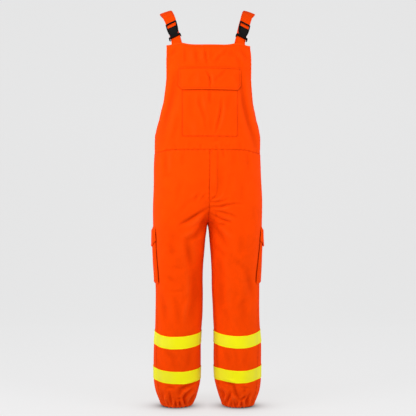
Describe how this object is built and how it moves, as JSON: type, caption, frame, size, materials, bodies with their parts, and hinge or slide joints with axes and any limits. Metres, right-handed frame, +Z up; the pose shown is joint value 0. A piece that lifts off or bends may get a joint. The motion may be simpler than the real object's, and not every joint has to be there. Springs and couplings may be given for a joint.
{
  "type": "bib overalls",
  "caption": "High-visibility bib overalls, hollow as worn: bib with flap pocket, buckled shoulder straps, side leg pockets, bands round the calves and gathered hems.",
  "frame": {"origin": "midway between the tops of the two shoulder straps, where the wearer's shoulders hold the garment up", "axes": "+Z up along the garment's height, -Y towards the front of the bib, +X towards the side of the fly piece"},
  "size_m": [0.4099, 0.2548, 1.4431],
  "materials": {
    "twill": "matt orange twill",
    "tape": "matt yellow tape",
    "buckle_plastic": "black moulded plastic"
  },
  "bodies": {
    "root": {"bib_front": "twill", "back_panel": "twill", "bib_pocket": "twill", "bib_pocket_flap": "twill", "trouser_front_left": "twill", "trouser_front_right": "twill", "trouser_back_left": "twill", "trouser_back_right": "twill", "fly_placket": "twill", "cargo_pocket_left": "twill", "cargo_pocket_right": "twill", "cargo_flap_left": "twill", "cargo_flap_right": "twill", "strap_left": "twill", "strap_right": "twill", "strap_stub_left": "twill", "strap_stub_right": "twill", "tape_upper_front_left": "tape", "tape_upper_back_left": "tape", "tape_lower_front_left": "tape", "tape_lower_back_left": "tape", "tape_upper_front_right": "tape", "tape_upper_back_right": "tape", "tape_lower_front_right": "tape", "tape_lower_back_right": "tape", "buckle_plug_left": "buckle_plastic", "buckle_plug_right": "buckle_plastic", "buckle_socket_left": "buckle_plastic", "buckle_socket_right": "buckle_plastic", "buckle_bar_left": "buckle_plastic", "buckle_bar_right": "buckle_plastic"}
  },
  "joints": []
}
